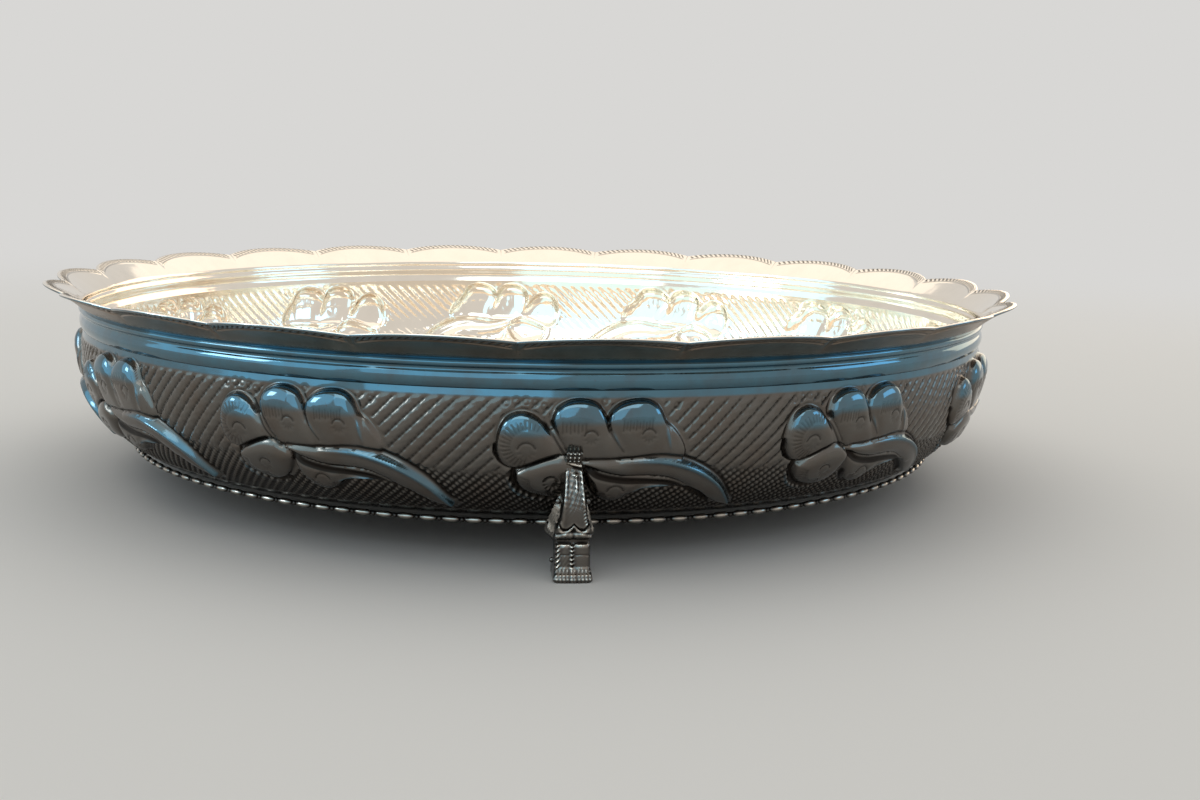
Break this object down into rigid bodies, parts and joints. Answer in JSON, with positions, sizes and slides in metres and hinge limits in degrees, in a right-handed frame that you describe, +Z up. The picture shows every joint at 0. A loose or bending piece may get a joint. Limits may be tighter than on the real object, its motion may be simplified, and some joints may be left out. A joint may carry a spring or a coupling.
{
  "type": "footed embossed metal dish",
  "caption": "Round shallow silver dish with a flared scalloped rim, an embossed wall of petals and leaves, a flat floor, a decorated base wire and cast legs.",
  "frame": {"origin": "centre of the dish at the level of the soles, on the surface that it stands on", "axes": "+Z up along the dish's axis, -Y towards the front leg, +X to the right of it"},
  "size_m": [0.302, 0.3022, 0.0596],
  "materials": {
    "polished_silver": "polished silver sheet, with dark tarnish left in the punched recesses",
    "cast_silver": "cast silver, brushed by hand, with dark tarnish in its flutes"
  },
  "bodies": {
    "root": {"dish": "polished_silver", "base_bead_wire": "cast_silver", "leg_front": "cast_silver", "leg_rear_right": "cast_silver", "leg_rear_left": "cast_silver"}
  },
  "joints": []
}
